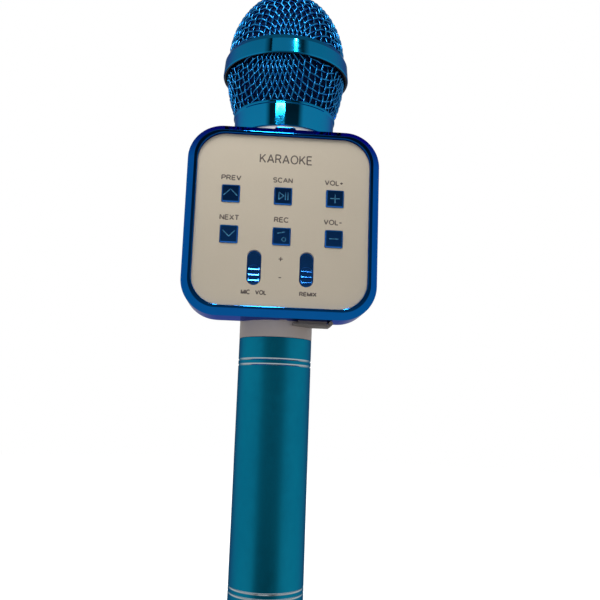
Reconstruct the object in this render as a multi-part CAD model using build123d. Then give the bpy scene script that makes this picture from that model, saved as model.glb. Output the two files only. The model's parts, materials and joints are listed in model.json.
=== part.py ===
from build123d import *
import os
from math import atan2, cos, degrees, radians, sin

# All sizes are in millimetres. Z runs up the microphone's axis from the flat foot of the
# end cap, the control panel faces -Y, and X is to the right of someone facing the panel.

# Handle
TUBE_RADIUS = 14.8
TUBE_BORE = 13.6
TUBE_BOTTOM = 5.0
TUBE_TOP = 112.0
TUBE_EDGE = 0.25
GROOVE_DEPTH = 0.3
GROOVE_WIDTH = 0.9
GROOVE_INSETS = (8.7, 10.8)
CAP_PLUG_TOP = 14.0
CAP_FLOOR = 3.0
CELL_RADIUS = 9.2
CELL_BOTTOM = 21.0
CELL_TOP = 86.0
CARRIER_TOP = 90.0
LEAD_RADIUS = 0.6

# Box
BOX_CENTRE = 156.5
BOX_HALF = 38.0
BOX_CORNER = 13.9
FRAME_FRONT = -24.9
FRAME_LIP = 2.0
FRAME_WALL = 2.0
FRAME_SLOPE = 2.7
FRAME_SLOPE_DEPTH = 3.0
FRAME_EDGE = 0.3
PANEL_HALF_X = 33.85
PANEL_HALF_Z = 34.1
PANEL_CORNER = 11.1
PANEL_FRONT = -23.4
PANEL_BACK = -22.9
SHELL_FRONT_WALL_BACK = -21.3
SHELL_HALF = 35.95
SHELL_CORNER = 11.9
SHELL_WALL = 1.6
SPLIT = -7.0
REAR_HALF = 36.6
REAR_CORNER = 12.5
REAR_BACK = 22.0
REAR_WALL = 1.8
REAR_DRAFT = 3.0
REAR_EDGE = 8.0
BOX_BOTTOM = BOX_CENTRE - BOX_HALF
BOX_TOP = BOX_CENTRE + BOX_HALF

# Necks between the box, the handle and the head
NECK_RADIUS = 14.85
NECK_BORE = 11.0
SPIGOT_BOTTOM = 98.0
TOP_NECK_RADIUS = 18.2
TOP_NECK_BORE = 12.5
TOP_FLANGE_RADIUS = 20.4
TOP_NECK_RIM = 196.7
POST_RADIUS = 15.6
POST_TOP = 203.4

# Controls on the panel
BUTTON_SIZE = 6.9
BUTTON_FRONT = -24.0
BUTTON_CHAMFER = 0.4
BUTTON_COLUMNS = (-20.4, 0.0, 20.4)
BUTTON_NAMES = ("previous", "scan", "volume_up", "next", "record", "volume_down")
UPPER_ROW = BOX_CENTRE + 9.8
LOWER_ROW = BOX_CENTRE - 6.4
SLIDER_X = 10.15
SLOT_CENTRE = BOX_CENTRE - 19.0
SLOT_WIDTH = 5.56
SLOT_HEIGHT = 13.9
KNOB_CENTRE = 134.7
KNOB_WIDTH = 5.1
KNOB_HEIGHT = 8.0
KNOB_FRONT = -23.0
RIB_PITCH = 2.15
SLIDER_TRAVEL = 5.5

# Main board
BOARD_FRONT = -14.0
BOARD_BACK = -12.4
BOARD_CENTRE = 155.0
BOARD_POSTS = [(x, BOX_CENTRE + z) for x in (-28.5, 28.5) for z in (-14.0, 14.0)]
CASE_POSTS = [(x, BOX_CENTRE + z) for x in (-23.5, 23.5) for z in (-23.5, 23.5)]

# Cover over the ports
COVER_TOP = 117.4
COVER_THICKNESS = 0.8
PLUG_TOP = 119.1
HINGE_HEIGHT = 117.6

# Power switch on the left wall
SWITCH_Y = 2.0
SWITCH_Z = 148.5
SWITCH_TRAVEL = 3.0

# Speaker, facing backwards
SPEAKER_FLANGE = 25.0
SPEAKER_BORE = 21.5
SPEAKER_SCREW_CIRCLE = 23.6
SPEAKER_SCREWS = [
    (SPEAKER_SCREW_CIRCLE * cos(radians(angle)), SPEAKER_SCREW_CIRCLE * sin(radians(angle)))
    for angle in (45, 135, 225, 315)
]
GRILLE_HOLE = 1.15
GRILLE_PITCH = 3.9
GRILLE_RINGS = 5

# Head
COLLAR_TOP = 207.5
COLLAR_RADIUS = 21.0
RING_BOTTOM = 224.8
RING_TOP = 233.2
DOME_RADIUS = 25.2
DOME_HEIGHT = 30.2
SIDE_ARC = 35.0
# The crown's arc meets the side's arc without a corner at this radius.
ARC_GAP = (SIDE_ARC - DOME_RADIUS) ** 2 + DOME_HEIGHT**2
CROWN_ARC = (SIDE_ARC**2 - ARC_GAP) / (2 * (SIDE_ARC - DOME_HEIGHT))
MESH_THICKNESS = 1.1

os.makedirs("parts", exist_ok=True)


def save(node, shape):
    """Write one sub-part as its own STEP file."""
    export_step(shape, f"parts/{node}.step")


def slab(outline, back, front):
    """Extrude an outline drawn in X and Z from one depth forward to another."""
    return extrude(Plane.XZ.offset(-back) * outline, back - front)


def placed(outline, x, z):
    """Move an outline drawn about the origin to a place on the panel."""
    return Pos(x, z) * outline


def rounded(width, height, corner):
    return RectangleRounded(width, height, corner)


def turned(*points):
    """Turn a closed outline of (radius, height) points about the axis."""
    return revolve(Plane.XZ * make_face(Polyline(*points, close=True)), Axis.Z)


def ring(outer, inner, bottom, top):
    return turned((inner, bottom), (outer, bottom), (outer, top), (inner, top))


def disc(radius, bottom, top):
    return Pos(0, 0, bottom) * extrude(Circle(radius), top - bottom)


def facing_back(solid):
    """Turn a solid made about Z to face +Y at the middle of the box."""
    return Pos(0, 0, BOX_CENTRE) * Rot(X=-90) * solid


def block(x_range, y_range, z_range):
    """A plain box between three pairs of limits."""
    middle = [(low + high) / 2 for low, high in (x_range, y_range, z_range)]
    size = [high - low for low, high in (x_range, y_range, z_range)]
    return Pos(*middle) * Box(*size)


def lead(points, bends):
    """A wire of straight runs between points, with a round bend at each corner."""
    path = FilletPolyline(*points, radius=bends)
    section = Plane(origin=path @ 0, z_dir=path % 0) * Circle(LEAD_RADIUS)
    return sweep(section, path=path)


def group(solids):
    return Compound(children=list(solids))


# ---- handle ----

def handle_tube():
    tube = turned(
        (TUBE_BORE, TUBE_BOTTOM),
        (TUBE_RADIUS - TUBE_EDGE, TUBE_BOTTOM),
        (TUBE_RADIUS, TUBE_BOTTOM + TUBE_EDGE),
        (TUBE_RADIUS, TUBE_TOP - TUBE_EDGE),
        (TUBE_RADIUS - TUBE_EDGE, TUBE_TOP),
        (TUBE_BORE, TUBE_TOP),
    )
    heights = [TUBE_BOTTOM + inset for inset in GROOVE_INSETS]
    heights += [TUBE_TOP - inset for inset in GROOVE_INSETS]
    half = GROOVE_WIDTH / 2
    for z in heights:
        tube -= turned(
            (TUBE_RADIUS + 0.1, z - half),
            (TUBE_RADIUS + 0.1, z + half),
            (TUBE_RADIUS - GROOVE_DEPTH, z),
        )
    return tube


def end_cap():
    flange = disc(TUBE_RADIUS, 0, TUBE_BOTTOM)
    flange = fillet(flange.edges().group_by(Axis.Z)[0], 1.5)
    plug = disc(TUBE_BORE - 0.1, TUBE_BOTTOM, CAP_PLUG_TOP)
    hollow = disc(TUBE_BORE - 2.6, CAP_FLOOR, CAP_PLUG_TOP)
    seal_groove = ring(TUBE_BORE, TUBE_BORE - 1.1, 6.6, 7.8)
    return flange + plug - hollow - seal_groove


def end_cap_seal():
    return Pos(0, 0, 7.2) * Torus(TUBE_BORE - 0.58, 0.5)


def battery_spring():
    """Coil spring standing on the cap's floor under the cell."""
    coil = Helix(pitch=2.8, height=CELL_BOTTOM - CAP_FLOOR - 1.1, radius=6.0)
    section = Plane(origin=coil @ 0, z_dir=coil % 0) * Circle(0.45)
    return Pos(0, 0, CAP_FLOOR + 0.5) * sweep(section, path=coil, is_frenet=True)


def battery_cell():
    return disc(CELL_RADIUS, CELL_BOTTOM, CELL_TOP) + disc(3.0, CELL_TOP, CELL_TOP + 1.0)


def battery_carrier():
    """Plastic sleeve that centres the cell in the tube on four ribs."""
    sleeve = ring(CELL_RADIUS + 1.6, CELL_RADIUS + 0.2, 18.0, CARRIER_TOP)
    lid = ring(TUBE_BORE - 0.1, 3.5, CELL_TOP + 2.0, CARRIER_TOP)
    rib = block((CELL_RADIUS + 1.0, TUBE_BORE - 0.1), (-1.0, 1.0), (18.0, CARRIER_TOP))
    ribs = [Rot(Z=angle) * rib for angle in (45, 135, 225, 315)]
    return sleeve + lid + ribs


def battery_contact():
    return disc(5.0, CELL_TOP + 1.0, CELL_TOP + 1.6) + disc(1.8, CELL_TOP + 1.6, CARRIER_TOP + 1.0)


def battery_leads():
    leads = []
    for x, start in ((0.0, CARRIER_TOP + 1.0), (-7.0, CARRIER_TOP)):
        end = (x, BOARD_BACK + LEAD_RADIUS, 146.0)
        leads.append(lead([(x, 0, start), (x, 0, 114.0), (x, end[1], 131.0), end], [12.0, 12.0]))
    return group(leads)


# ---- necks ----

def lower_neck():
    """Turned collar between the tube and the box, with a spigot inside the tube."""
    return turned(
        (NECK_BORE, SPIGOT_BOTTOM),
        (TUBE_BORE - 0.05, SPIGOT_BOTTOM),
        (TUBE_BORE - 0.05, TUBE_TOP),
        (NECK_RADIUS - 0.3, TUBE_TOP),
        (NECK_RADIUS, TUBE_TOP + 0.3),
        (NECK_RADIUS, 123.2),
        (15.6, 123.2),
        (15.6, 124.6),
        (NECK_BORE, 124.6),
    )


def upper_neck():
    """Turned collar on top of the box, with a flange round the frame's tab, and the head's post."""
    neck = turned(
        (TOP_NECK_BORE, 185.4),
        (19.0, 185.4),
        (19.0, 187.0),
        (TOP_NECK_RADIUS, 187.0),
        (TOP_NECK_RADIUS, BOX_TOP + 0.1),
        (TOP_FLANGE_RADIUS, BOX_TOP + 0.1),
        (TOP_FLANGE_RADIUS, TOP_NECK_RIM),
        (POST_RADIUS, TOP_NECK_RIM),
        (POST_RADIUS, POST_TOP - 0.5),
        (POST_RADIUS - 0.5, POST_TOP),
        (TOP_NECK_BORE, POST_TOP),
    )
    return neck - block((-4.6, 4.6), (-21.0, -18.3), (BOX_TOP, TOP_NECK_RIM + 1))


def neck_holes():
    """Clearance for both necks through the walls of the box."""
    lower = disc(NECK_RADIUS + 0.1, BOX_BOTTOM - 1, BOX_BOTTOM + 8)
    upper = disc(TOP_NECK_RADIUS + 0.1, 187.0, BOX_TOP + 3)
    return lower + upper


def port_windows():
    """Openings in the bottom of the box for the card slot and the charging socket."""
    card = block((7.7, 20.7), (-16.1, -13.5), (BOX_BOTTOM - 1, BOX_BOTTOM + 5))
    charging = block((12.3, 20.6), (-12.8, -9.3), (BOX_BOTTOM - 1, BOX_BOTTOM + 5))
    return card + charging


# ---- front of the box ----

def bezel_frame():
    """Plated band round the front of the box, with a sloping face and a lip over the panel's edge."""
    outer = placed(rounded(2 * BOX_HALF, 2 * BOX_HALF, BOX_CORNER), 0, BOX_CENTRE)
    opening = rounded(2 * PANEL_HALF_X + 0.2, 2 * PANEL_HALF_Z + 0.2, PANEL_CORNER)
    band = slab(outer, SPLIT, FRAME_FRONT) - slab(placed(opening, 0, BOX_CENTRE), SPLIT, FRAME_FRONT)
    front = band.faces().sort_by(Axis.Y)[0]
    band = chamfer(front.outer_wire().edges(), FRAME_SLOPE, FRAME_SLOPE_DEPTH, reference=front)
    band = fillet(band.edges().group_by(Axis.Y)[0], FRAME_EDGE)
    inside = 2 * (BOX_HALF - FRAME_WALL)
    cavity = placed(rounded(inside, inside, SHELL_CORNER), 0, BOX_CENTRE)
    band -= slab(cavity, SPLIT, FRAME_FRONT + FRAME_LIP)
    tab = slab(placed(rounded(8.6, 3.5, 1.2), 0, BOX_TOP - 0.15), -18.4, -20.6)
    tab = fillet(tab.edges().group_by(Axis.Y)[0], 0.4)
    notch = block((0.7, 3.7), (-17.0, -10.0), (BOX_BOTTOM - 1, BOX_BOTTOM + 1.2))
    return band + tab - neck_holes() - port_windows() - notch


def button_centres():
    return [(x, z) for z in (UPPER_ROW, LOWER_ROW) for x in BUTTON_COLUMNS]


def control_openings():
    """Square holes for the buttons and upright slots for the two sliders."""
    square = rounded(BUTTON_SIZE + 0.3, BUTTON_SIZE + 0.3, 0.5)
    squares = [placed(square, x, z) for x, z in button_centres()]
    slot = SlotOverall(SLOT_HEIGHT, SLOT_WIDTH, rotation=90)
    slots = [placed(slot, x, SLOT_CENTRE) for x in (-SLIDER_X, SLIDER_X)]
    return Sketch() + squares + slots


def front_panel():
    plate = placed(rounded(2 * PANEL_HALF_X, 2 * PANEL_HALF_Z, PANEL_CORNER), 0, BOX_CENTRE)
    return slab(plate - control_openings(), PANEL_BACK, PANEL_FRONT)


def front_housing():
    """Front shell of the box: a tray with posts for the board and for the rear shell."""
    outer = placed(rounded(2 * SHELL_HALF, 2 * SHELL_HALF, SHELL_CORNER), 0, BOX_CENTRE)
    inside = 2 * (SHELL_HALF - SHELL_WALL)
    inner = placed(rounded(inside, inside, SHELL_CORNER - SHELL_WALL), 0, BOX_CENTRE)
    shell = slab(outer, SPLIT, PANEL_BACK) - slab(inner, SPLIT, SHELL_FRONT_WALL_BACK)
    shell -= slab(control_openings(), SHELL_FRONT_WALL_BACK, PANEL_BACK)
    shell -= neck_holes() + port_windows()
    for x, z in BOARD_POSTS:
        shell += slab(placed(Circle(2.6) - Circle(1.05), x, z), BOARD_FRONT, SHELL_FRONT_WALL_BACK)
    for x, z in CASE_POSTS:
        shell += slab(placed(Circle(3.0) - Circle(1.25), x, z), SPLIT + 0.1, SHELL_FRONT_WALL_BACK)
    return shell


# ---- buttons and sliders ----

def button(x, z):
    """Square key cap with a flange that keeps it in and a stem to its switch."""
    cap = slab(placed(rounded(BUTTON_SIZE, BUTTON_SIZE, 0.5), x, z), -21.2, BUTTON_FRONT)
    cap = chamfer(cap.edges().group_by(Axis.Y)[0], BUTTON_CHAMFER)
    flange = slab(placed(rounded(8.5, 8.5, 0.8), x, z), -20.4, -21.2)
    stem = slab(placed(Circle(1.6), x, z), -17.3, -20.4)
    return cap + flange + stem


def key_switches():
    """Six push switches, each with a well that its button's stem presses into."""
    switches = []
    for x, z in button_centres():
        body = slab(placed(rounded(6.0, 6.0, 0.4), x, z), BOARD_FRONT, -17.5)
        switches.append(body - slab(placed(Circle(1.8), x, z), -16.0, -17.5))
    return group(switches)


def slider(x):
    """Ribbed knob in its slot, with a skirt behind the wall and a lever to its fader."""
    knob = placed(SlotOverall(KNOB_HEIGHT, KNOB_WIDTH, rotation=90), x, KNOB_CENTRE)
    shape = slab(knob, -21.2, KNOB_FRONT)
    shape = fillet(shape.edges().group_by(Axis.Y)[0], 0.4)
    for step in (-1, 0, 1):
        rib = placed(rounded(4.0, 0.8, 0.35), x, KNOB_CENTRE + step * RIB_PITCH)
        raised = slab(rib, KNOB_FRONT, KNOB_FRONT - 0.7)
        shape += fillet(raised.edges().group_by(Axis.Y)[0], 0.2)
    shape += slab(placed(rounded(8.0, 20.4, 1.0), x, KNOB_CENTRE), -20.5, -21.2)
    shape += slab(placed(Rectangle(2.0, 1.4), x, KNOB_CENTRE), -16.0, -20.5)
    return shape


def slide_pots():
    """Two slide faders on the board, each slotted along its lever's travel."""
    faders = []
    for x in (-SLIDER_X, SLIDER_X):
        body = slab(placed(Rectangle(8.0, 16.8), x, SLOT_CENTRE + 0.4), BOARD_FRONT, -17.5)
        slot = placed(Rectangle(2.4, SLIDER_TRAVEL + 2.2), x, KNOB_CENTRE + SLIDER_TRAVEL / 2)
        faders.append(body - slab(slot, -15.4, -17.5))
    return group(faders)


# ---- board ----

def main_board():
    plate = placed(rounded(64.0, 60.0, 2.0), 0, BOARD_CENTRE)
    tongue = placed(Rectangle(10.6, 4.0), 15.7, 124.5)
    outline = plate + tongue
    for x, z in CASE_POSTS:
        outline -= placed(Circle(3.4), x, z)
    for x, z in BOARD_POSTS:
        outline -= placed(Circle(1.2), x, z)
    return slab(outline, BOARD_BACK, BOARD_FRONT)


def board_screws():
    screws = []
    for x, z in BOARD_POSTS:
        head = slab(placed(Circle(1.9), x, z), BOARD_BACK + 1.2, BOARD_BACK)
        slot = slab(placed(Rectangle(2.6, 0.5), x, z), BOARD_BACK + 1.3, BOARD_BACK + 0.7)
        shank = slab(placed(Circle(1.0), x, z), BOARD_BACK, -19.5)
        screws.append(head - slot + shank)
    return group(screws)


def board_chips():
    """Radio module, sound processor and amplifier on the back of the board."""
    places = (
        ((-18.0, 169.0), (12.0, 12.0), 2.2),
        ((0.0, 160.0), (9.0, 9.0), 1.4),
        ((12.0, 142.0), (6.0, 5.0), 1.5),
    )
    return group(
        slab(placed(Rectangle(*size), *centre), BOARD_BACK + height, BOARD_BACK)
        for centre, size, height in places
    )


def board_capacitors():
    places = ((-16.0, 146.0), (-16.0, 154.0), (16.0, 171.0))
    return group(slab(placed(Circle(3.1), x, z), BOARD_BACK + 6.5, BOARD_BACK) for x, z in places)


def card_socket():
    """Low metal shell with a slot for a memory card."""
    shell = block((8.2, 20.2), (-15.55, BOARD_FRONT), (119.2, 129.0))
    return shell - block((8.7, 19.7), (-15.15, -14.4), (119.0, 128.0))


def charging_socket():
    shell = block((12.7, 20.2), (BOARD_BACK, -9.7), (119.2, 125.0))
    hollow = block((13.1, 19.8), (-11.9, -10.1), (119.0, 124.2))
    tongue = block((14.4, 18.5), (-11.25, -10.75), (120.0, 124.2))
    return shell - hollow + tongue


def port_cover():
    """Soft cover under the ports, with two plugs and a bead it swings down on."""
    top = COVER_TOP
    plate = block((5.8, 20.9), (-16.6, -7.5), (top - COVER_THICKNESS, top))
    plate = fillet(plate.edges().filter_by(Axis.Z), 0.8)
    plate = fillet(plate.edges().group_by(Axis.Z)[0], 0.25)
    plate -= disc(NECK_RADIUS + 0.35, 115.0, BOX_BOTTOM)
    card_plug = block((8.2, 19.4), (-15.8, -13.8), (top, PLUG_TOP))
    charging_plug = block((12.9, 19.4), (-12.4, -9.7), (top, PLUG_TOP))
    bead = Pos(20.8, -14.25, HINGE_HEIGHT) * Rot(X=90) * Cylinder(0.8, 9.0)
    return plate + card_plug + charging_plug + bead


# ---- power switch ----

def power_switch():
    """Slide knob on the left wall, with a skirt behind the wall and a lever."""
    z_low = SWITCH_Z - 2.4
    z_high = SWITCH_Z + 2.4
    knob = block((-37.1, -34.0), (SWITCH_Y - 1.6, SWITCH_Y + 1.6), (z_low, z_high))
    grip = block((-37.2, -36.7), (SWITCH_Y - 1.7, SWITCH_Y + 1.7), (SWITCH_Z - 0.3, SWITCH_Z + 0.3))
    grips = [Pos(0, 0, step) * grip for step in (-1.4, 0.0, 1.4)]
    skirt = block((-34.0, -33.4), (SWITCH_Y - 2.8, SWITCH_Y + 2.8), (SWITCH_Z - 6.0, SWITCH_Z + 6.0))
    lever = block((-33.4, -31.4), (SWITCH_Y - 0.8, SWITCH_Y + 0.8), (SWITCH_Z - 0.8, SWITCH_Z + 0.8))
    return knob - grips + skirt + lever


def switch_middle():
    return SWITCH_Z + SWITCH_TRAVEL / 2


def power_switch_body():
    z = switch_middle()
    body = block((-33.2, -29.2), (SWITCH_Y - 3.0, SWITCH_Y + 3.0), (z - 8.6, z + 8.6))
    return body - block((-33.3, -31.0), (SWITCH_Y - 1.1, SWITCH_Y + 1.1), (z - 2.8, z + 2.8))


# ---- rear of the box ----

def draughted(half, corner, back, edge):
    """Block from the split line to the back, narrowing slightly, with a rounded back edge."""
    outline = placed(rounded(2 * half, 2 * half, corner), 0, BOX_CENTRE)
    shape = extrude(Plane.XZ.offset(-SPLIT) * outline, amount=-(back - SPLIT), taper=REAR_DRAFT)
    return fillet(shape.edges().group_by(Axis.Y)[-1], edge)


def rear_housing():
    inner_back = REAR_BACK - REAR_WALL
    shell = draughted(REAR_HALF, REAR_CORNER, REAR_BACK, REAR_EDGE)
    shell -= draughted(REAR_HALF - REAR_WALL, REAR_CORNER - REAR_WALL, inner_back, REAR_EDGE - REAR_WALL)
    shell += facing_back(ring(26.0, SPEAKER_BORE, 18.6, inner_back))
    for x, z in CASE_POSTS:
        shell += slab(placed(Circle(3.2), x, z), inner_back, SPLIT + 0.1)
    for x, z in CASE_POSTS:
        shell -= slab(placed(Circle(1.35), x, z), REAR_BACK, SPLIT)
        shell -= slab(placed(Circle(2.1), x, z), REAR_BACK + 1, 8.0)
    shell -= facing_back(disc(SPEAKER_BORE, 18.0, REAR_BACK + 1))
    shell -= facing_back(disc(24.2, 21.0, REAR_BACK + 1))
    for x, z in SPEAKER_SCREWS:
        shell -= slab(placed(Circle(0.85), x, BOX_CENTRE + z), 20.6, 18.0)
    z = switch_middle()
    for low, high in ((z - 10.2, z - 8.6), (z + 8.6, z + 10.2)):
        shell += block((-34.6, -29.2), (SWITCH_Y - 3.0, SWITCH_Y + 3.0), (low, high))
    shell -= block((-40, -34), (SWITCH_Y - 1.9, SWITCH_Y + 1.9), (z - 4.2, z + 4.2))
    return shell - neck_holes()


def case_screws():
    screws = []
    for x, z in CASE_POSTS:
        head = slab(placed(Circle(2.0), x, z), 9.6, 8.0)
        slot = slab(placed(Rectangle(2.8, 0.6), x, z), 9.7, 9.0)
        shank = slab(placed(Circle(1.2), x, z), 8.0, -18.5)
        screws.append(head - slot + shank)
    return group(screws)


def speaker_grille():
    """Round perforated plate let into the back."""
    plate = disc(24.1, 21.0, REAR_BACK)
    plate = chamfer(plate.edges().group_by(Axis.Z)[-1], 0.2)
    hole = disc(GRILLE_HOLE, 20.5, REAR_BACK + 0.5)
    for ring_index in range(1, GRILLE_RINGS + 1):
        count = 6 * ring_index
        radius = GRILLE_PITCH * ring_index
        for step in range(count):
            angle = radians(360 * step / count)
            plate -= Pos(radius * cos(angle), radius * sin(angle), 0) * hole
    return facing_back(plate - hole)


def speaker_gasket():
    gasket = ring(SPEAKER_FLANGE, SPEAKER_BORE, 18.0, 18.6)
    for x, z in SPEAKER_SCREWS:
        gasket -= Pos(x, z, 0) * disc(1.0, 17.0, 19.0)
    return facing_back(gasket)


def speaker_basket():
    """Pressed frame: flange at the back, slotted cone, and the plate the magnet is glued to."""
    cage = turned(
        (14.0, 8.5),
        (14.0, 7.5),
        (15.0, 7.5),
        (22.0, 17.0),
        (SPEAKER_FLANGE, 17.0),
        (SPEAKER_FLANGE, 18.0),
        (21.0, 18.0),
    )
    plate = ring(14.2, 7.6, 7.5, 8.5)
    basket = cage + plate
    window = block((15.2, 21.2), (-4.0, 4.0), (9.6, 15.2))
    basket -= [Rot(Z=angle) * window for angle in range(0, 360, 60)]
    for x, z in SPEAKER_SCREWS:
        basket -= Pos(x, z, 0) * disc(0.9, 16.0, 19.0)
    return facing_back(basket)


def speaker_magnet():
    magnet = disc(13.0, 0.5, 7.5)
    pole = disc(5.5, 7.5, 9.4)
    return facing_back(fillet(magnet.edges().group_by(Axis.Z)[0], 0.6) + pole)


def speaker_cone():
    return facing_back(turned((7.0, 10.3), (7.3, 9.9), (18.9, 17.5), (18.9, 18.0)))


def speaker_surround():
    """Rolled edge that joins the cone to the flange."""
    roll = Pos(19.95, 18.0) * (Circle(1.4) - Circle(1.0))
    upper_half = roll & (Pos(19.95, 19.0) * Rectangle(4.0, 2.0))
    rolled = revolve(Plane.XZ * upper_half, Axis.Z)
    return facing_back(rolled)


def dust_cap():
    cap = Pos(0, 0, 1.8) * (Sphere(11.0) - Sphere(10.5))
    return facing_back(cap & disc(7.0, 10.25, 14.0))


def speaker_screws():
    screws = []
    for x, z in SPEAKER_SCREWS:
        head = slab(placed(Circle(1.3), x, BOX_CENTRE + z), 17.0, 15.8)
        slot = slab(placed(Rectangle(2.0, 0.4), x, BOX_CENTRE + z), 16.3, 15.7)
        shank = slab(placed(Circle(0.8), x, BOX_CENTRE + z), 20.4, 17.0)
        screws.append(head - slot + shank)
    return group(screws)


def speaker_leads():
    """Two wires from a rib of the speaker's frame to the board."""
    leads = []
    for x in (-1.5, 1.5):
        end = (x, BOARD_BACK + 0.55, 170.0)
        leads.append(lead([(x, 8.6, 173.4), (x, 6.0, 181.0), (x, -5.0, 181.0), end], [3.5, 4.5]))
    return group(leads)


# ---- head ----

def head_collar():
    """Plated cup with a raised lip, which screws onto the post and carries the lower basket."""
    cup = turned(
        (COLLAR_RADIUS - 0.3, TOP_NECK_RIM),
        (COLLAR_RADIUS, TOP_NECK_RIM + 0.3),
        (COLLAR_RADIUS + 0.35, COLLAR_TOP - 1.4),
        (COLLAR_RADIUS + 0.75, COLLAR_TOP - 1.1),
        (COLLAR_RADIUS + 0.75, COLLAR_TOP - 0.4),
        (COLLAR_RADIUS + 0.45, COLLAR_TOP),
        (14.0, COLLAR_TOP),
        (14.0, 203.6),
        (POST_RADIUS + 0.1, 203.6),
        (POST_RADIUS + 0.1, TOP_NECK_RIM),
    )
    return cup - basket_core(-0.05)


def basket_core(inset):
    """Everything inside the side of the lower basket, moved inwards by an amount."""
    side = ThreePointArc((20.4 - inset, 205.0), (23.6 - inset, 213.6), (25.5 - inset, 226.4))
    edges = [side, Polyline(side @ 1, (0, 226.4), (0, 205.0), side @ 0)]
    return revolve(Plane.XZ * make_face(edges), Axis.Z)


def dome_core(inset, bottom):
    """Everything inside the upper basket down to a height, moved inwards by an amount."""
    side_centre = DOME_RADIUS - SIDE_ARC
    crown_centre = DOME_HEIGHT - CROWN_ARC
    turn = degrees(atan2(crown_centre, -side_centre))
    side = CenterArc((side_centre, RING_TOP), SIDE_ARC - inset, 0, turn)
    crown = CenterArc((0, RING_TOP + crown_centre), CROWN_ARC - inset, turn, 90 - turn)
    width = DOME_RADIUS - inset
    rest = Polyline(crown @ 1, (0, bottom), (width, bottom), side @ 0)
    return revolve(Plane.XZ * make_face([side, crown, rest]), Axis.Z)


def grille_lower():
    return basket_core(0) - basket_core(MESH_THICKNESS)


def grille_ring():
    """Plated band that clamps the rims of the two mesh baskets together."""
    return turned(
        (26.0, RING_BOTTOM),
        (26.6, RING_BOTTOM),
        (27.1, RING_BOTTOM + 1.6),
        (26.6, RING_TOP - 1.9),
        (25.7, RING_TOP),
        (25.25, RING_TOP),
        (25.25, 231.6),
        (24.1, 231.6),
        (24.1, 226.4),
        (25.55, 226.4),
        (25.55, 226.1),
        (26.0, 226.1),
    )


def grille_upper():
    return dome_core(0, 231.6) - dome_core(MESH_THICKNESS, 231.6)


def foam_core(inset):
    """Both baskets and the band between them as one filled shape, moved inwards."""
    return basket_core(inset + 0.3) + dome_core(inset, 226.4)


def foam_windscreen():
    """Soft lining behind the mesh of both baskets."""
    gap = MESH_THICKNESS + 0.1
    return foam_core(gap) - foam_core(gap + 3.0) - disc(17.0, 204.0, 208.0)


def capsule_holder():
    """Rubber cup on the post that keeps handling noise from the capsule."""
    holder = turned(
        (0, 198.0),
        (TOP_NECK_BORE - 0.05, 198.0),
        (TOP_NECK_BORE - 0.05, POST_TOP),
        (13.6, POST_TOP),
        (13.6, 205.0),
        (11.0, 205.0),
        (11.0, 216.0),
        (0, 216.0),
    )
    holder -= disc(7.0, 209.0, 217.0)
    for x in (-2.0, 2.0):
        holder -= Pos(x, 0, 0) * disc(0.9, 197.0, 210.0)
    return holder


def mic_capsule():
    capsule = disc(7.0, 209.0, 218.0)
    return fillet(capsule.edges().group_by(Axis.Z)[-1], 0.8)


def capsule_leads():
    leads = []
    for x in (-2.0, 2.0):
        end_y = BOARD_BACK + LEAD_RADIUS
        leads.append(lead([(x, 0, 209.0), (x, 0, 194.0), (x, end_y, 184.0), (x, end_y, 176.0)], [8.0, 6.0]))
    return group(leads)


save("handle_tube", handle_tube())
save("end_cap", end_cap())
save("end_cap_seal", end_cap_seal())
save("battery_spring", battery_spring())
save("battery_cell", battery_cell())
save("battery_carrier", battery_carrier())
save("battery_contact", battery_contact())
save("battery_leads", battery_leads())
save("lower_neck", lower_neck())
save("upper_neck", upper_neck())
save("bezel_frame", bezel_frame())
save("front_panel", front_panel())
save("front_housing", front_housing())
for (column, row), name in zip(button_centres(), BUTTON_NAMES, strict=True):
    save(f"button_{name}", button(column, row))
save("key_switches", key_switches())
save("slider_mic_volume", slider(-SLIDER_X))
save("slider_remix", slider(SLIDER_X))
save("slide_pots", slide_pots())
save("main_board", main_board())
save("board_screws", board_screws())
save("board_chips", board_chips())
save("board_capacitors", board_capacitors())
save("card_socket", card_socket())
save("charging_socket", charging_socket())
save("port_cover", port_cover())
save("power_switch", power_switch())
save("power_switch_body", power_switch_body())
save("rear_housing", rear_housing())
save("case_screws", case_screws())
save("speaker_grille", speaker_grille())
save("speaker_gasket", speaker_gasket())
save("speaker_basket", speaker_basket())
save("speaker_magnet", speaker_magnet())
save("speaker_cone", speaker_cone())
save("speaker_surround", speaker_surround())
save("speaker_dust_cap", dust_cap())
save("speaker_screws", speaker_screws())
save("speaker_leads", speaker_leads())
save("head_collar", head_collar())
save("grille_lower", grille_lower())
save("grille_ring", grille_ring())
save("grille_upper", grille_upper())
save("foam_windscreen", foam_windscreen())
save("capsule_holder", capsule_holder())
save("mic_capsule", mic_capsule())
save("capsule_leads", capsule_leads())
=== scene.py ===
import json
from math import atan2, cos, pi, radians, sin, sqrt, tan

import bpy
import numpy as np
from mathutils import Matrix, Vector, noise as field


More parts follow.
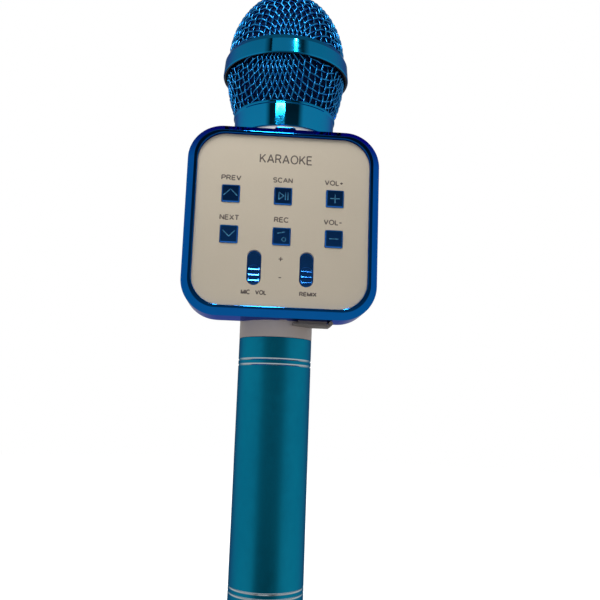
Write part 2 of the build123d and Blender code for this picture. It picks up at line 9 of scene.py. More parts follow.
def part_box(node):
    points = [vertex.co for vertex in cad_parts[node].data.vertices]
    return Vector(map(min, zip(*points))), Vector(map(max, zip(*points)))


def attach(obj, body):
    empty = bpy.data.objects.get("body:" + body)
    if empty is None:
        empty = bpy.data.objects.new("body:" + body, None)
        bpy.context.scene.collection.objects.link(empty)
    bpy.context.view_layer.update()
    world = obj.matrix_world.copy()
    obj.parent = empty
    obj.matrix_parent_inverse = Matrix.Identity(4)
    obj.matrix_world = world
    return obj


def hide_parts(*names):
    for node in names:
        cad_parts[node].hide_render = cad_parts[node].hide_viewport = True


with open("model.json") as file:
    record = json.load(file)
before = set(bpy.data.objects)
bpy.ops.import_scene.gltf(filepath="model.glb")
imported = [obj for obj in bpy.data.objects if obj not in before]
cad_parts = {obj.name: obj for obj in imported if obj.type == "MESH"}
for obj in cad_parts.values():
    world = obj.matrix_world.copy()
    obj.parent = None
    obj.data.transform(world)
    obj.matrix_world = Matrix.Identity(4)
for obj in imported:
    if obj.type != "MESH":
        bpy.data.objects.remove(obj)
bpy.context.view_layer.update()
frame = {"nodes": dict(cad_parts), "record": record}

MM = 0.001

# All sizes below are in millimetres, in the part's own frame: Z up the handle's axis, the panel
# facing -Y. Places come from the pack's frame wherever a CAD node gives them.


def low(node):
    """Lowest corner of a node, in millimetres."""
    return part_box(node)[0] / MM


def high(node):
    """Highest corner of a node, in millimetres."""
    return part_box(node)[1] / MM


TUBE_RADIUS = high("handle_tube").x
TUBE_BOTTOM = low("handle_tube").z
TUBE_TOP = high("handle_tube").z
PANEL_FRONT = low("front_panel").y
DOME_TOP = high("grille_upper").z
DOME_RADIUS = high("grille_upper").x
RING_TOP = high("grille_ring").z
RING_BOTTOM = low("grille_ring").z
CUP_BOTTOM = low("grille_lower").z
CUP_TOP = high("grille_lower").z
CUP_TOP_RADIUS = high("grille_lower").x

COLLAR_BOTTOM = low("head_collar").z
COLLAR_TOP = high("head_collar").z

# Handle tube, with two grooves near each end
TUBE_BORE = 13.6
GROOVE_DEPTH = 0.3
GROOVE_HALF = 0.45
GROOVE_INSETS = (8.7, 10.8)

# End cap
FOOT_HOLLOW_RADIUS = 8.6
FOOT_HOLLOW_DEPTH = 0.5
FOOT_THICKNESS = 3.0
PLUG_GAP = 0.1
PLUG_WALL = 2.5

# Lower neck
NECK_RADIUS = 14.85
NECK_BORE = 11.0
NECK_RIM_PROUD = 0.75
NECK_RIM_HEIGHT = 1.4

# Upper neck: a foot in the box, a white flange under the collar and a threaded post
TOP_NECK_FOOT_RADIUS = 19.0
TOP_NECK_FOOT_HEIGHT = 1.6
TOP_NECK_RADIUS = 18.2
TOP_NECK_BORE = 12.5
TOP_FLANGE_RADIUS = 20.4
FLANGE_THICKNESS = 2.1
POST_RADIUS = 15.6

# Collar: a cup that screws on the post
COLLAR_RADIUS = 21.0
COLLAR_MOUTH_RADIUS = 20.5
COLLAR_BORE = 14.0
COLLAR_THREAD_RADIUS = POST_RADIUS + 0.1
COLLAR_THREAD_HEIGHT = 6.9
LIP_PROUD = 0.75
LIP_HEIGHT = 1.1

# Clamp ring: its plated band meets its dark inside at the seam; the inside is dark with painted shadow
RING_FOOT_RADIUS = 26.75
RING_TOP_RADIUS = 25.7
RING_BORE = 25.25
RING_CLAMP_BORE = 24.1
RING_CUP_BORE = 25.45
RING_SEAM = (26.0, 231.0)
RING_LEDGE = 231.6

# Slider knobs, with three ribs each
KNOB_MIDDLE = (low("slider_remix").z + high("slider_remix").z) / 2
RIB_PITCH = 2.15
RIB_HALF_LENGTH = 2.05
RIB_HALF_HEIGHT = 0.46
RIB_ROOT = 0.75
RIB_BEVEL = 0.05

# Woven baskets
WIRE_RADIUS = 0.34
WIRE_PITCH = 2.95
WIRE_SIDES = 8
WIRE_STEPS = 5
DOME_SIDE_ARC = 35.0
CUP_BOTTOM_RADIUS = 20.4
CUP_MIDDLE = (23.6, 213.6)
DOME_NET_TURN = 46.0
CUP_NET_TURN = 35.0
WEAVE_INSET = 2 * WIRE_RADIUS

# Foam lining
FOAM_GAP = 1.3
FOAM_THICKNESS = 3.0
FOAM_PORE = 1.1
FOAM_RELIEF = 0.12

# Printed words and icons. Each column and row of words stands over its keys.
LEFT_COLUMN = -20.5
MIDDLE_COLUMN = -0.3
RIGHT_COLUMN = 19.9
UPPER_ROW = 172.8
LOWER_ROW = 156.8
LETTER_GAP = 0.26
STROKE_SIDES = 8
INK_RISE = 0.03
LABEL_WEIGHT = 0.44
ICON_RISE = 0.12
ICON_WEIGHT = 0.4

# Camera: where it stands, and how it is turned, in radians
CAMERA_PLACE = (-8.91, -288.07, 84.67)
CAMERA_PAN = 0.064
CAMERA_TILT = 0.153
CAMERA_ROLL = 0.035
CAMERA_LENS = 42.0

# Studio: what the lamps point at, the edges of the dark front in degrees round from -Y towards +X,
# how bright the rest is, and the floor's radius in metres
HEAD = (0, 0, 215)
PANEL = (0, PANEL_FRONT, 156)
DARK_LEFT = (radians(-46), radians(-34))
DARK_RIGHT = (radians(29), radians(42))
SIDE_BRIGHTNESS = 0.6
SOFT_BRIGHTNESS = 0.36
BACKDROP = (1.0, 1.0, 1.0, 1.0)
FLOOR_RADIUS = 5.0
FLOOR_SIDES = 64


# ---- node trees ----

def node(tree, kind, inputs=None, **settings):
    """Add a shader node; an input is a value or another node's output."""
    made = tree.nodes.new(kind)
    for key, value in settings.items():
        setattr(made, key, value)
    for key, value in (inputs or {}).items():
        if isinstance(value, bpy.types.NodeSocket):
            tree.links.new(value, made.inputs[key])
        else:
            made.inputs[key].default_value = value
    return made


def new_look(name):
    """An empty material with its output, ready for nodes."""
    look = bpy.data.materials.new(name)
    look.use_nodes = True
    look.node_tree.nodes.clear()
    return look


def linear(red, green, blue):
    """A display colour given as 0 to 255, as the linear colour that shaders take."""
    def one(value):
        share = value / 255
        return share / 12.92 if share <= 0.04045 else ((share + 0.055) / 1.055) ** 2.4
    return (one(red), one(green), one(blue), 1.0)


def place(tree):
    """Position in the part's frame, in metres."""
    return node(tree, "ShaderNodeTexCoord").outputs["Object"]


def noise(tree, size, detail=3.0, roughness=0.55, stretch=None):
    """Noise with features of a size in millimetres, from 0 to 1. stretch lengthens it along Z."""
    vector = place(tree)
    if stretch:
        factors = {0: vector, 1: (1, 1, 1 / stretch)}
        vector = node(tree, "ShaderNodeVectorMath", factors, operation="MULTIPLY").outputs[0]
    inputs = {"Vector": vector, "Scale": 1 / (size * MM), "Detail": detail, "Roughness": roughness}
    return node(tree, "ShaderNodeTexNoise", inputs).outputs["Fac"]


def spread(tree, value, low_in, high_in, low_out, high_out):
    """Map a range of values to another."""
    inputs = {
        "Value": value,
        "From Min": low_in,
        "From Max": high_in,
        "To Min": low_out,
        "To Max": high_out,
    }
    return node(tree, "ShaderNodeMapRange", inputs).outputs["Result"]


def blended(tree, factor, first, second):
    """Mix two colours."""
    return node(tree, "ShaderNodeMix", {0: factor, 6: first, 7: second}, data_type="RGBA").outputs[2]


def between(tree, factor, first, second):
    """Mix two numbers."""
    return node(tree, "ShaderNodeMix", {0: factor, 2: first, 3: second}, data_type="FLOAT").outputs[0]


def arithmetic(tree, operation, first, second=0.0):
    """One sum, product or comparison of two numbers."""
    return node(tree, "ShaderNodeMath", {0: first, 1: second}, operation=operation).outputs[0]


def bumped(tree, height, depth, under=None):
    """Normal from a height of 0 to 1 that stands for a depth in millimetres."""
    inputs = {"Height": height, "Distance": depth * MM, "Strength": 1.0}
    if under:
        inputs["Normal"] = under
    return node(tree, "ShaderNodeBump", inputs).outputs["Normal"]


def surface(look, colour, roughness, normal=None, metallic=0.0, **more):
    """Finish a material with one Principled shader. More inputs are named with underscores."""
    tree = look.node_tree
    inputs = {"Base Color": colour, "Roughness": roughness, "Metallic": metallic}
    inputs.update({key.replace("_", " "): value for key, value in more.items()})
    if normal:
        inputs["Normal"] = normal
    shader = node(tree, "ShaderNodeBsdfPrincipled", inputs)
    output = node(tree, "ShaderNodeOutputMaterial")
    tree.links.new(shader.outputs[0], output.inputs["Surface"])
    return look


# ---- materials ----

def plated(name, dark, light, edge=None, roughness=0.045, waviness=0.012, coat=0.3):
    """Coloured chrome on moulded plastic under clear lacquer: slightly wavy, with faint smudges."""
    look = new_look(name)
    tree = look.node_tree
    colour = blended(tree, noise(tree, 14.0), dark, light)
    smudge = noise(tree, 6.0, detail=6.0, roughness=0.7)
    rough = spread(tree, smudge, 0.35, 0.75, roughness, roughness * 2.2)
    waves = bumped(tree, noise(tree, 5.0, detail=1.0), waviness)
    normal = bumped(tree, noise(tree, 0.35, detail=2.0), 0.0012, waves)
    lacquer = {"Coat_Weight": coat, "Coat_Roughness": 0.05}
    return surface(look, colour, rough, normal, metallic=1.0, Specular_Tint=edge or light, **lacquer)


SEALED = {"Coat_Weight": 0.06, "Coat_Roughness": 0.3}


def dyed(look, dark, light):
    """Colour, roughness and normal of blasted and dyed aluminium, drawn faintly along the tube."""
    tree = look.node_tree
    cloud = noise(tree, 18.0, detail=4.0, stretch=3.0)
    colour = blended(tree, spread(tree, cloud, 0.3, 0.7, 0.0, 1.0), dark, light)
    rough = spread(tree, noise(tree, 3.0, detail=5.0), 0.3, 0.7, 0.31, 0.41)
    drawn = bumped(tree, noise(tree, 0.5, detail=2.0, stretch=12.0), 0.003)
    normal = bumped(tree, noise(tree, 0.16, detail=2.0), 0.006, drawn)
    return colour, rough, normal


def anodised(name, dark, light):
    """Dyed aluminium with a satin finish."""
    look = new_look(name)
    return surface(look, *dyed(look, dark, light), metallic=1.0, Specular_Tint=light, **SEALED)


def grooved_look(name, dark, light, bare):
    """Dyed tube whose grooves are cut after dyeing, so that bare bright metal shows in them."""
    look = new_look(name)
    tree = look.node_tree
    colour, rough, normal = dyed(look, dark, light)
    parts = node(tree, "ShaderNodeSeparateXYZ", {0: place(tree)})
    across = arithmetic(tree, "MULTIPLY", parts.outputs["X"], parts.outputs["X"])
    along = arithmetic(tree, "MULTIPLY", parts.outputs["Y"], parts.outputs["Y"])
    radius = arithmetic(tree, "SQRT", arithmetic(tree, "ADD", across, along))
    deep = spread(tree, radius, (TUBE_RADIUS - 0.05) * MM, (TUBE_RADIUS - 0.01) * MM, 1.0, 0.0)
    above_foot = arithmetic(tree, "GREATER_THAN", parts.outputs["Z"], (TUBE_BOTTOM + 1) * MM)
    below_top = arithmetic(tree, "LESS_THAN", parts.outputs["Z"], (TUBE_TOP - 1) * MM)
    cut = arithmetic(tree, "MULTIPLY", deep, arithmetic(tree, "MULTIPLY", above_foot, below_top))
    colour = blended(tree, cut, colour, bare)
    rough = arithmetic(tree, "MULTIPLY", rough, spread(tree, cut, 0.0, 1.0, 1.0, 0.55))
    return surface(look, colour, rough, normal, metallic=1.0, Specular_Tint=light, **SEALED)


def moulded(name, colour, roughness=0.42, grain=0.22, depth=0.006, variation=0.06, **more):
    """Moulded plastic or rubber with a fine spark texture and faint unevenness."""
    look = new_look(name)
    tree = look.node_tree
    darker = tuple(channel * (1 - variation) for channel in colour[:3]) + (1.0,)
    tint = blended(tree, spread(tree, noise(tree, 9.0, detail=5.0), 0.3, 0.7, 0.0, 1.0), darker, colour)
    rough = spread(tree, noise(tree, 4.0, detail=5.0), 0.3, 0.7, roughness * 0.85, roughness * 1.15)
    normal = bumped(tree, noise(tree, grain, detail=3.0), depth)
    return surface(look, tint, rough, normal, **more)


def panel_look(name, colour, fleck):
    """Satin sprayed sheet with fine metallic flecks."""
    look = new_look(name)
    tree = look.node_tree
    duller = tuple(channel * 0.94 for channel in colour[:3]) + (1.0,)
    soft = blended(tree, noise(tree, 22.0, detail=3.0), colour, duller)
    specks = spread(tree, noise(tree, 0.14, detail=1.0), 0.62, 0.72, 0.0, 0.5)
    tint = blended(tree, specks, soft, fleck)
    rough = spread(tree, noise(tree, 2.0, detail=6.0), 0.3, 0.7, 0.36, 0.5)
    normal = bumped(tree, noise(tree, 0.25, detail=3.0), 0.003)
    return surface(look, tint, rough, normal, metallic=0.25)


def metal(name, colour, roughness, grain=0.3, depth=0.004, stretch=None):
    """Bare or plain-plated metal."""
    look = new_look(name)
    tree = look.node_tree
    darker = tuple(channel * 0.8 for channel in colour[:3]) + (1.0,)
    tint = blended(tree, noise(tree, 3.0, detail=6.0), darker, colour)
    rough = spread(tree, noise(tree, 1.5, detail=5.0), 0.3, 0.7, roughness * 0.8, roughness * 1.3)
    normal = bumped(tree, noise(tree, grain, detail=2.0, stretch=stretch), depth)
    return surface(look, tint, rough, normal, metallic=1.0)


def wire_look(name, dark, light):
    """Lacquered steel wire, paler in patches that follow noise."""
    look = new_look(name)
    tree = look.node_tree
    tint = blended(tree, spread(tree, noise(tree, 1.6, detail=4.0), 0.35, 0.65, 0.0, 1.0), dark, light)
    rough = spread(tree, noise(tree, 0.9, detail=4.0), 0.3, 0.7, 0.16, 0.3)
    normal = bumped(tree, noise(tree, 0.25, detail=2.0), 0.008)
    lacquer = {"Coat_Weight": 0.3, "Coat_Roughness": 0.08}
    return surface(look, tint, rough, normal, metallic=1.0, Specular_Tint=light, **lacquer)


def foam_look(name, dark, light):
    """Open-cell foam: small pits between thin walls, the pits darkened with painted shade."""
    look = new_look(name)
    tree = look.node_tree
    cells = node(tree, "ShaderNodeTexVoronoi", {"Vector": place(tree), "Scale": 1 / (0.9 * MM)})
    walls_and_pit_shade = spread(tree, cells.outputs["Distance"], 0.1, 0.6, 0.0, 1.0)
    # Painted shade: the colour is darker in the pits and paler on the walls.
    tint = blended(tree, walls_and_pit_shade, dark, light)
    normal = bumped(tree, walls_and_pit_shade, 0.35)
    return surface(look, tint, 0.95, normal, Specular_IOR_Level=0.1)


DYE_DARK = linear(4, 128, 164)
DYE_LIGHT = linear(10, 140, 174)
BARE_ALUMINIUM = linear(206, 216, 222)
BLUE_EDGE = linear(0, 100, 230)

LOOKS = {
    "handle_aluminium": anodised("handle_aluminium", DYE_DARK, DYE_LIGHT),
    "handle_grooved": grooved_look("handle_grooved", DYE_DARK, DYE_LIGHT, BARE_ALUMINIUM),
    "plated_blue": plated("plated_blue", linear(6, 92, 170), linear(12, 104, 182), BLUE_EDGE, coat=0.03),
    "plated_teal": plated("plated_teal", linear(4, 132, 186), linear(8, 142, 194), coat=0.12),
    "key_navy": plated("key_navy", linear(36, 112, 206), linear(46, 124, 216), roughness=0.1, coat=0.15),
    # Painted shadow: near black for the hollow under the clamp ring.
    "ring_painted_shadow": moulded("ring_painted_shadow", linear(4, 14, 30), roughness=0.5, depth=0.008),
    "panel_sheet": panel_look("panel_sheet", linear(214, 202, 182), linear(236, 228, 212)),
    "white_plastic": moulded("white_plastic", linear(226, 222, 216), depth=0.004),
    # Painted shade: a darker copy of the white plastic, for the lower neck in the box's shadow.
    "white_plastic_painted_shade": moulded("white_plastic_painted_shade", linear(206, 194, 188), depth=0.004),
    "grille_metal": wire_look("grille_metal", linear(8, 116, 188), linear(36, 150, 214)),
    "foam": foam_look("foam", linear(2, 14, 40), linear(6, 30, 72)),
    "label_ink": moulded("label_ink", linear(100, 90, 84), roughness=0.6, grain=0.1, depth=0.002),
    "icon_line": plated("icon_line", linear(84, 168, 214), linear(120, 200, 232), roughness=0.2),
    "soft_rubber": moulded("soft_rubber", linear(34, 34, 36), roughness=0.7, depth=0.01),
    # Painted shade: the port cover's white rubber is coloured darker for its shadow under the box.
    "cover_rubber": moulded("cover_rubber", linear(134, 126, 120), roughness=0.6, depth=0.008),
    "component_black": moulded("component_black", linear(26, 27, 30), roughness=0.45),
    "inner_plastic": moulded("inner_plastic", linear(60, 62, 66), roughness=0.5),
    "lead_red": moulded("lead_red", linear(160, 24, 22), roughness=0.35),
    "board": moulded("board", linear(14, 84, 44), roughness=0.3, grain=0.6, depth=0.01),
    "battery_wrap": moulded("battery_wrap", linear(46, 132, 168), roughness=0.25, depth=0.002),
    "magnet": moulded("magnet", linear(48, 48, 50), roughness=0.5, depth=0.012),
    "cone_paper": moulded("cone_paper", linear(40, 38, 38), roughness=0.85, grain=0.4, depth=0.03),
    "spring_steel": metal("spring_steel", linear(190, 192, 196), 0.25),
    "socket_steel": metal("socket_steel", linear(188, 190, 194), 0.3),
    "screw_steel": metal("screw_steel", linear(150, 152, 158), 0.32),
    "can_metal": metal("can_metal", linear(196, 196, 200), 0.35),
    "speaker_steel": metal("speaker_steel", linear(120, 122, 128), 0.4),
}


# ---- meshes ----

def piece(name, points, faces, look, body, stands_for=(), flats=False):
    """A smooth-shaded mesh piece from points in millimetres, riding on a body."""
    mesh = bpy.data.meshes.new(name)
    mesh.from_pydata([tuple(v * MM for v in p) for p in points], [], faces)
    mesh.materials.append(LOOKS[look])
    mesh.update()
    mesh.shade_smooth()
    made = bpy.data.objects.new(name, mesh)
    bpy.context.scene.collection.objects.link(made)
    if flats:
        made.modifiers.new("flats", "WEIGHTED_NORMAL")
    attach(made, body)
    if stands_for:
        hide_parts(*stands_for)
    return made


# ---- turned pieces ----

def rounded_outline(corners, steps=5):
    """Outline of (radius, height, rounding) corners, with an arc at each rounded corner."""
    outline = []
    neighbours = zip(corners[-1:] + corners[:-1], corners, corners[1:] + corners[:1])
    for before, corner, after in neighbours:
        spot = Vector(corner[:2])
        rounding = corner[2]
        if rounding == 0:
            outline.append(tuple(spot))
            continue
        back = (Vector(before[:2]) - spot).normalized()
        ahead = (Vector(after[:2]) - spot).normalized()
        half = back.angle(ahead) / 2
        centre = spot + (back + ahead).normalized() * rounding / sin(half)
        first = spot + back * rounding / tan(half) - centre
        last = spot + ahead * rounding / tan(half) - centre
        start = atan2(first.y, first.x)
        turn = (atan2(last.y, last.x) - start + pi) % (2 * pi) - pi
        for step in range(steps + 1):
            angle = start + turn * step / steps
            outline.append((centre.x + rounding * cos(angle), centre.y + rounding * sin(angle)))
    return outline


def spun(outline, around):
    """Points and faces of a closed outline turned about the axis, drawn anticlockwise."""
    count = len(outline)
    points = []
    faces = []
    for step in range(around):
        angle = 2 * pi * step / around
        points += [(radius * cos(angle), radius * sin(angle), height) for radius, height in outline]
        here = step * count
        after = (step + 1) % around * count
        for corner in range(count):
            follow = (corner + 1) % count
            faces.append((here + corner, after + corner, after + follow, here + follow))
    return points, faces


def turned(name, corners, look, body, stands_for):
    """A turned piece from its rounded outline, in place of one CAD node."""
    points, faces = spun(rounded_outline(corners), 200)
    return piece(name, points, faces, look, body, [stands_for], flats=True)


def groove(z):
    """Three corners of a groove round the tube, from below."""
    return [
        (TUBE_RADIUS, z - GROOVE_HALF, 0.06),
        (TUBE_RADIUS - GROOVE_DEPTH, z, 0.08),
        (TUBE_RADIUS, z + GROOVE_HALF, 0.06),
    ]


def handle():
    """Handle tube with its four grooves."""
    bottom = TUBE_BOTTOM
    top = TUBE_TOP
    grooves = []
    for inset in GROOVE_INSETS:
        grooves += groove(bottom + inset)
    for inset in reversed(GROOVE_INSETS):
        grooves += groove(top - inset)
    outline = [
        (TUBE_BORE, bottom, 0),
        (TUBE_RADIUS, bottom, 0.25),
        *grooves,
        (TUBE_RADIUS, top, 0.25),
        (TUBE_BORE, top, 0),
    ]
    turned("handle_tube_turned", outline, "handle_grooved", "microphone", "handle_tube")


def foot():
    """End cap: a rounded foot, slightly hollow underneath, and the plug that goes up the tube."""
    bottom = low("end_cap").z
    plug_top = high("end_cap").z
    plug_radius = TUBE_BORE - PLUG_GAP
    plug_bore = plug_radius - PLUG_WALL
    outline = [
        (0.4, bottom + FOOT_HOLLOW_DEPTH, 0),
        (FOOT_HOLLOW_RADIUS, bottom + FOOT_HOLLOW_DEPTH, 0.2),
        (FOOT_HOLLOW_RADIUS + 0.6, bottom, 0.3),
        (TUBE_RADIUS, bottom, 1.5),
        (TUBE_RADIUS, TUBE_BOTTOM, 0.25),
        (plug_radius, TUBE_BOTTOM, 0),
        (plug_radius, plug_top, 0.4),
        (plug_bore, plug_top, 0.2),
        (plug_bore, bottom + FOOT_THICKNESS, 0.3),
        (0.4, bottom + FOOT_THICKNESS, 0),
    ]
    turned("end_cap_turned", outline, "handle_aluminium", "end_cap", "end_cap")


def lower_neck():
    """Neck between the handle and the box: a plug in the tube, and a rim inside the box."""
    bottom = low("lower_neck").z
    top = high("lower_neck").z
    plug_radius = TUBE_BORE - 0.05
    rim_radius = NECK_RADIUS + NECK_RIM_PROUD
    outline = [
        (NECK_BORE, bottom, 0),
        (plug_radius, bottom, 0.3),
        (plug_radius, TUBE_TOP, 0),
        (NECK_RADIUS, TUBE_TOP, 0.3),
        (NECK_RADIUS, top - NECK_RIM_HEIGHT, 0),
        (rim_radius, top - NECK_RIM_HEIGHT, 0),
        (rim_radius, top, 0),
        (NECK_BORE, top, 0),
    ]
    # Painted shade: the neck's white plastic is coloured darker for the shadow of the box above it.
    turned("lower_neck_turned", outline, "white_plastic_painted_shade", "microphone", "lower_neck")


def upper_neck():
    """Neck between the box and the head."""
    bottom = low("upper_neck").z
    post_top = high("upper_neck").z
    flange_bottom = COLLAR_BOTTOM - FLANGE_THICKNESS
    outline = [
        (TOP_NECK_BORE, bottom, 0),
        (TOP_NECK_FOOT_RADIUS, bottom, 0.2),
        (TOP_NECK_FOOT_RADIUS, bottom + TOP_NECK_FOOT_HEIGHT, 0),
        (TOP_NECK_RADIUS, bottom + TOP_NECK_FOOT_HEIGHT, 0),
        (TOP_NECK_RADIUS, flange_bottom, 0),
        (TOP_FLANGE_RADIUS, flange_bottom, 0.3),
        (TOP_FLANGE_RADIUS, COLLAR_BOTTOM, 0.1),
        (POST_RADIUS, COLLAR_BOTTOM, 0),
        (POST_RADIUS, post_top, 0.5),
        (TOP_NECK_BORE, post_top, 0.3),
    ]
    turned("upper_neck_turned", outline, "white_plastic", "microphone", "upper_neck")


def collar():
    """Plated cup under the baskets, with a raised lip."""
    lip_radius = COLLAR_RADIUS + LIP_PROUD
    thread_top = COLLAR_BOTTOM + COLLAR_THREAD_HEIGHT
    outline = [
        (COLLAR_THREAD_RADIUS, COLLAR_BOTTOM, 0),
        (COLLAR_RADIUS, COLLAR_BOTTOM, 0.3),
        (COLLAR_RADIUS + 0.35, COLLAR_TOP - LIP_HEIGHT - 0.3, 0.2),
        (lip_radius, COLLAR_TOP - LIP_HEIGHT, 0.2),
        (lip_radius, COLLAR_TOP, 0.4),
        (COLLAR_RADIUS, COLLAR_TOP, 0.1),
        (COLLAR_MOUTH_RADIUS, CUP_BOTTOM, 0),
        (COLLAR_BORE, CUP_BOTTOM, 0),
        (COLLAR_BORE, thread_top, 0),
        (COLLAR_THREAD_RADIUS, thread_top, 0),
    ]
    return turned("head_collar_turned", outline, "plated_teal", "head", "head_collar")


def clamp_ring():
    """Plated band round the baskets, and its dark inside that shows from below, coloured near black as
    painted shadow under the band.
    """
    edge = RING_BOTTOM
    outline = [
        (RING_FOOT_RADIUS, edge, 0),
        (RING_FOOT_RADIUS + 0.2, edge, 0.08),
        (RING_FOOT_RADIUS + 0.35, edge + 0.5, 0.1),
        (RING_FOOT_RADIUS - 0.13, RING_TOP - 2.0, 0.3),
        (RING_TOP_RADIUS, RING_TOP, 0.2),
        (RING_BORE, RING_TOP, 0),
        (RING_BORE, RING_LEDGE, 0),
        (*RING_SEAM, 0),
    ]
    band = turned("grille_ring_turned", outline, "plated_teal", "head", "grille_ring")
    inside = [
        (RING_CUP_BORE, edge + 1.5, 0.3),
        (RING_CUP_BORE + 0.65, edge + 0.15, 0.2),
        (RING_FOOT_RADIUS, edge + 0.02, 0),
        (*RING_SEAM, 0),
        (RING_BORE, RING_LEDGE, 0),
        (RING_CLAMP_BORE, RING_LEDGE, 0),
        (RING_CLAMP_BORE, CUP_TOP, 0),
        (RING_CUP_BORE, CUP_TOP, 0),
    ]
    # Painted shadow: the inside is coloured near black for the shade under the band.
    turned("grille_ring_inside", inside, "ring_painted_shadow", "head", "grille_ring")
    return band


handle()
foot()
lower_neck()
upper_neck()
collar_piece = collar()
ring_piece = clamp_ring()


# ---- woven baskets ----

def arc_through(first, middle, last):
    """Centre and radius of the circle through three (radius, height) points."""
    (ax, ay), (bx, by), (cx, cy) = first, middle, last
    d = 2 * (ax * (by - cy) + bx * (cy - ay) + cx * (ay - by))
    a2, b2, c2 = ax * ax + ay * ay, bx * bx + by * by, cx * cx + cy * cy
    x = (a2 * (by - cy) + b2 * (cy - ay) + c2 * (ay - by)) / d
    y = (a2 * (cx - bx) + b2 * (ax - cx) + c2 * (bx - ax)) / d
    return x, y, sqrt((ax - x) ** 2 + (ay - y) ** 2)


def arc_points(centre_r, centre_z, radius, start, end, count):
    """Points along an arc, angles in radians from the +radius direction."""
    angles = np.linspace(start, end, count)
    return np.column_stack([centre_r + radius * np.cos(angles), centre_z + radius * np.sin(angles)])


def dome_profile(inset):
    """From the pole of the upper basket down over its side, moved inwards."""
    height = DOME_TOP - RING_TOP
    side_gap = (DOME_SIDE_ARC - DOME_RADIUS) ** 2 + height**2
    crown = (DOME_SIDE_ARC**2 - side_gap) / (2 * (DOME_SIDE_ARC - height))
    turn = atan2(height - crown, DOME_SIDE_ARC - DOME_RADIUS)
    top = arc_points(0, DOME_TOP - crown, crown - inset, pi / 2, turn, 120)
    side = arc_points(DOME_RADIUS - DOME_SIDE_ARC, RING_TOP, DOME_SIDE_ARC - inset, turn, 0, 120)
    straight = [(DOME_RADIUS - inset, RING_TOP - step) for step in range(1, 7)]
    return np.vstack([top, side[1:], straight])


def cup_profile(inset):
    """From the pole that the lower basket was pressed from, up over its side, moved inwards."""
    bottom = (CUP_BOTTOM_RADIUS, CUP_BOTTOM)
    top = (CUP_TOP_RADIUS, CUP_TOP)
    centre_r, centre_z, radius = arc_through(bottom, CUP_MIDDLE, top)
    start = atan2(CUP_BOTTOM - centre_z, CUP_BOTTOM_RADIUS - centre_r)
    end = atan2(CUP_TOP - centre_z, CUP_TOP_RADIUS - centre_r)
    side = arc_points(centre_r, centre_z, radius - inset, start, end, 120)
    cap_radius = CUP_BOTTOM_RADIUS / cos(start) - inset
    cap_centre = CUP_BOTTOM - CUP_BOTTOM_RADIUS * sin(start) / cos(start)
    cap = arc_points(0, cap_centre, cap_radius, -pi / 2, start, 120)
    lift = [(side[-1][0], side[-1][1] + step) for step in range(1, 7)]
    return np.vstack([cap, side[1:], lift])


class Net:
    """A square net laid on a surface of revolution so that each side keeps its length."""

    def __init__(self, profile, pitch):
        self.profile = profile
        self.pitch = pitch
        steps = np.diff(profile, axis=0)
        self.lengths = np.concatenate([[0], np.cumsum(np.hypot(steps[:, 0], steps[:, 1]))])
        self.tangents = steps / np.hypot(steps[:, 0], steps[:, 1])[:, None]
        rising = 1.0 if profile[-1][1] > profile[0][1] else -1.0
        self.normals = np.column_stack([self.tangents[:, 1], -self.tangents[:, 0]]) * rising
        self.nodes = {}

    def nearest(self, radius, height):
        """Signed distance from the surface and the normal there, in the plane of the axis."""
        offset = np.array([radius, height]) - self.profile[:-1]
        along = np.clip((offset * self.tangents).sum(1), 0, np.diff(self.lengths))
        gap = offset - self.tangents * along[:, None]
        best = np.argmin((gap**2).sum(1))
        normal = self.normals[best]
        return float((gap[best] * normal).sum()), normal

    def at(self, length):
        return (
            np.interp(length, self.lengths, self.profile[:, 0]),
            np.interp(length, self.lengths, self.profile[:, 1]),
        )

    def gap(self, point):
        return self.nearest(float(np.hypot(point[0], point[1])), float(point[2]))[0]

    def normal(self, point):
        radius = max(float(np.hypot(point[0], point[1])), 1e-9)
        flat, up = self.nearest(radius, float(point[2]))[1]
        return np.array([point[0] / radius * flat, point[1] / radius * flat, up])

    def next_corner(self, first, second, behind):
        """The fourth corner of a cell on the surface, or nothing where the cell would close up."""
        apart = second - first
        width = np.linalg.norm(apart)
        reach = self.pitch**2 - (width / 2) ** 2
        if reach <= (0.12 * self.pitch) ** 2:
            return None
        middle = (first + second) / 2
        reach = sqrt(reach)
        apart = apart / width
        ahead = middle - behind
        ahead = ahead - apart * (ahead @ apart)
        ahead = ahead / np.linalg.norm(ahead)
        outward = np.cross(apart, ahead)
        if outward @ self.normal(middle) < 0:
            outward = -outward

        def at(angle):
            return middle + reach * (cos(angle) * ahead + sin(angle) * outward)

        old, new = 0.0, -0.15
        old_gap, new_gap = self.gap(at(old)), self.gap(at(new))
        for _ in range(12):
            if abs(new_gap - old_gap) < 1e-9:
                break
            step = new_gap * (new - old) / (new_gap - old_gap)
            old, old_gap = new, new_gap
            new = new - max(-0.4, min(0.4, step))
            new_gap = self.gap(at(new))
        return at(new)

    def quadrant(self):
        """Corners with both counts positive, found one from its neighbours."""
        count = int(self.lengths[-1] / self.pitch)
        grid = {}
        for step in range(count + 1):
            radius, height = self.at(step * self.pitch)
            grid[step, 0] = np.array([radius, 0.0, height])
            grid[0, step] = np.array([0.0, radius, height])
        for i in range(1, count + 1):
            for j in range(1, count + 1):
                around = [grid.get(key) for key in ((i - 1, j), (i, j - 1), (i - 1, j - 1))]
                if any(corner is None for corner in around):
                    continue
                corner = self.next_corner(*around)
                if corner is not None:
                    grid[i, j] = corner
        return grid, count

    def lay(self):
        """The whole net: the quadrant turned four times about the axis."""
        grid, count = self.quadrant()
        for (i, j), corner in grid.items():
            x, y, z = corner
            for key, spot in (
                ((i, j), (x, y, z)),
                ((-j, i), (-y, x, z)),
                ((-i, -j), (-x, -y, z)),
                ((j, -i), (y, -x, z)),
            ):
                self.nodes[key] = np.array(spot)
        return count


